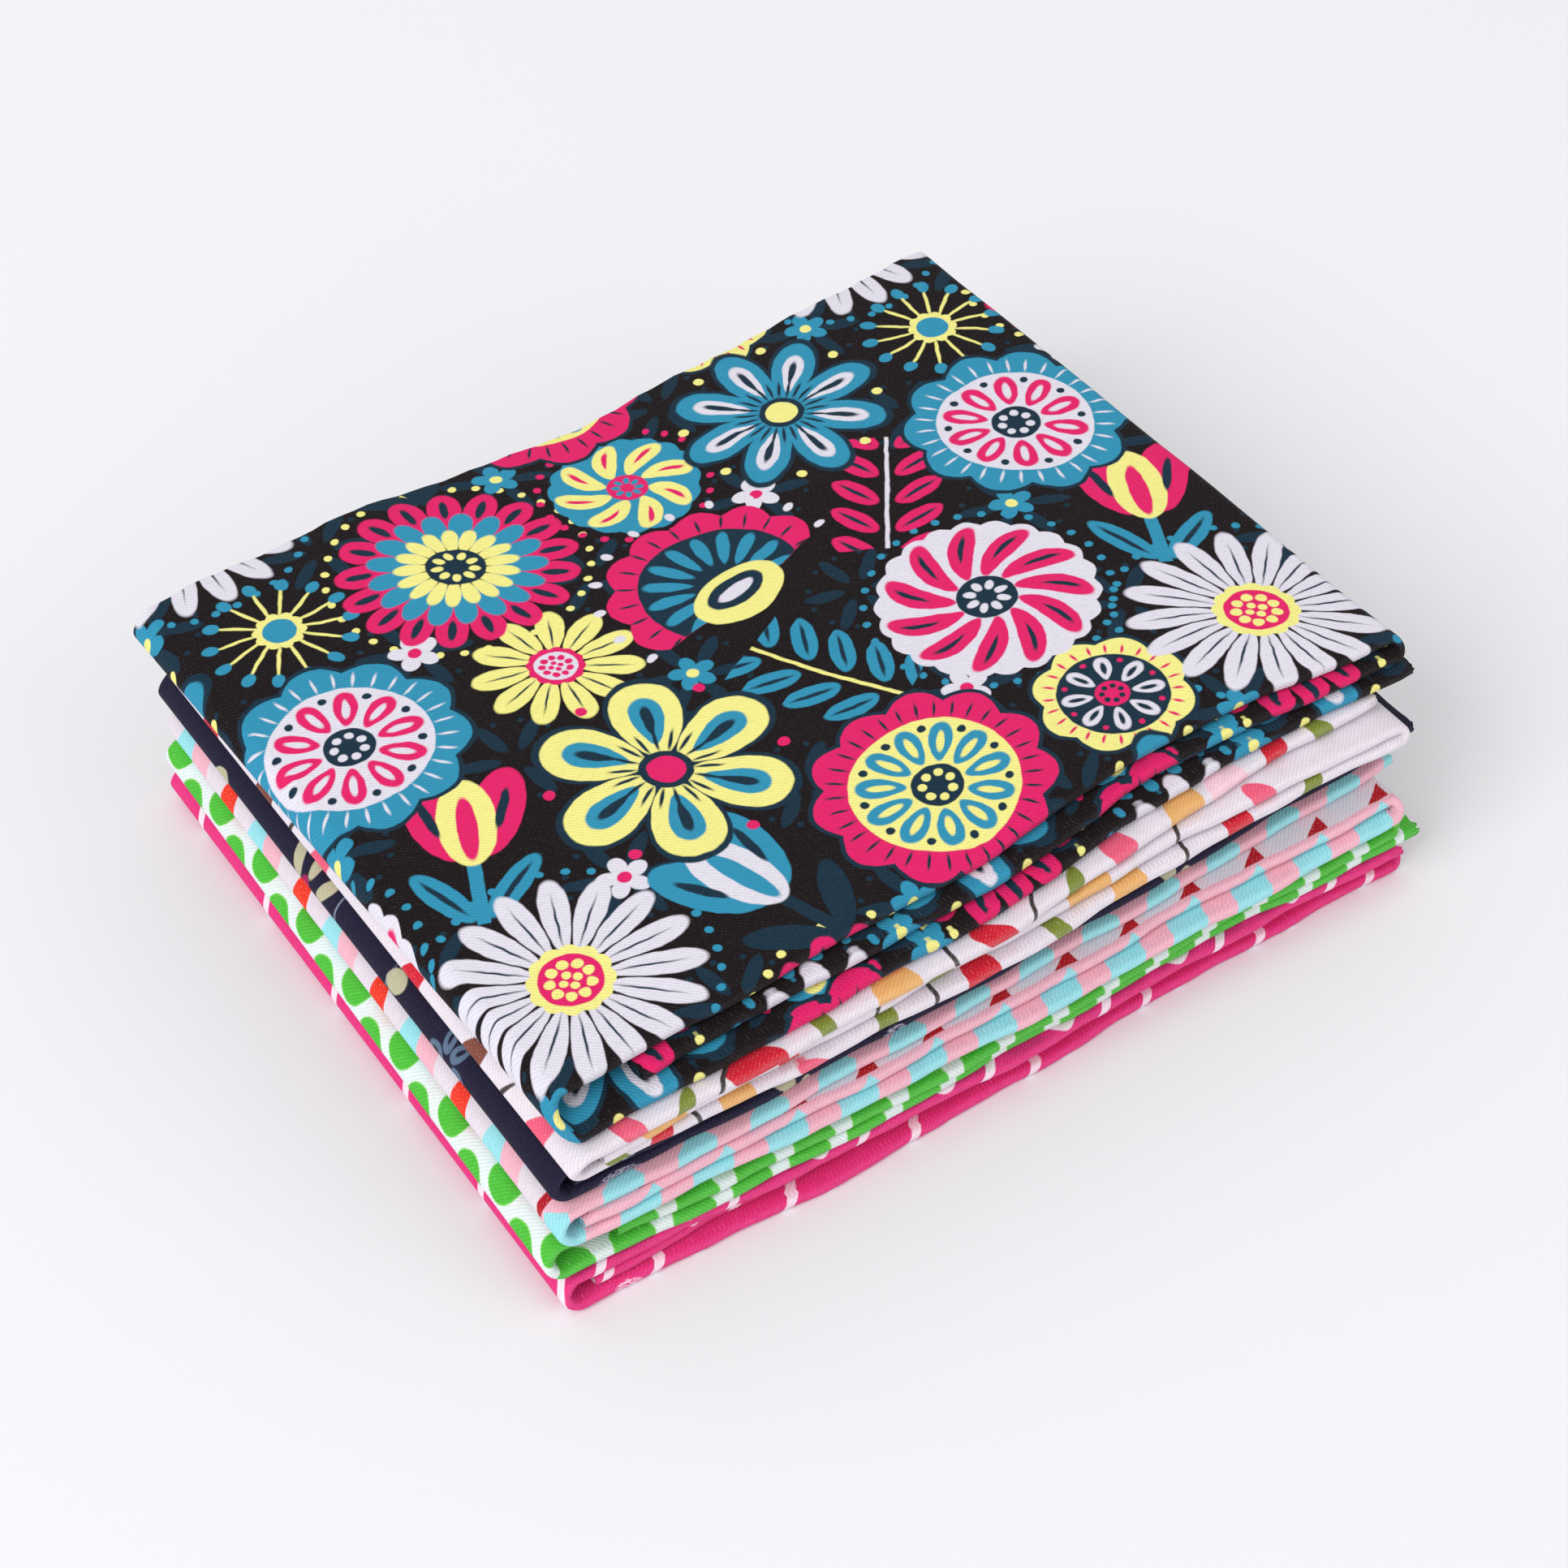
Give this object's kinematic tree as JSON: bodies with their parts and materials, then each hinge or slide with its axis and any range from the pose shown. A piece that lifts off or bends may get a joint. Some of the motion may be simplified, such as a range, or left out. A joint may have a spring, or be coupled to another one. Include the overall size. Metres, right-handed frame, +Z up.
{
  "type": "fat quarter bundle",
  "caption": "Stack of folded cuts of printed cotton, each doubled and turned in thirds, with their folded edges showing at the front and left.",
  "frame": {"origin": "middle of the bundle's footprint, on the surface it rests on", "axes": "+X along the front fold edges, from the round left end to the right end; +Y from the front to the back; +Z up"},
  "size_m": [0.1782, 0.1456, 0.0469],
  "materials": {
    "dark_floral_cotton": "matte printed plain-weave cotton",
    "white_floral_cotton": "matte printed plain-weave cotton",
    "navy_cotton": "matte printed plain-weave cotton",
    "pink_aqua_cotton": "matte printed plain-weave cotton",
    "green_dots_cotton": "matte printed plain-weave cotton",
    "hot_pink_cotton": "matte printed plain-weave cotton"
  },
  "bodies": {
    "root": {"quarter_1_dark_floral": "dark_floral_cotton", "quarter_2_white_floral": "white_floral_cotton", "quarter_3_navy": "navy_cotton", "quarter_4_pink_aqua": "pink_aqua_cotton", "quarter_5_green_dots": "green_dots_cotton", "quarter_6_hot_pink": "hot_pink_cotton"}
  },
  "joints": []
}
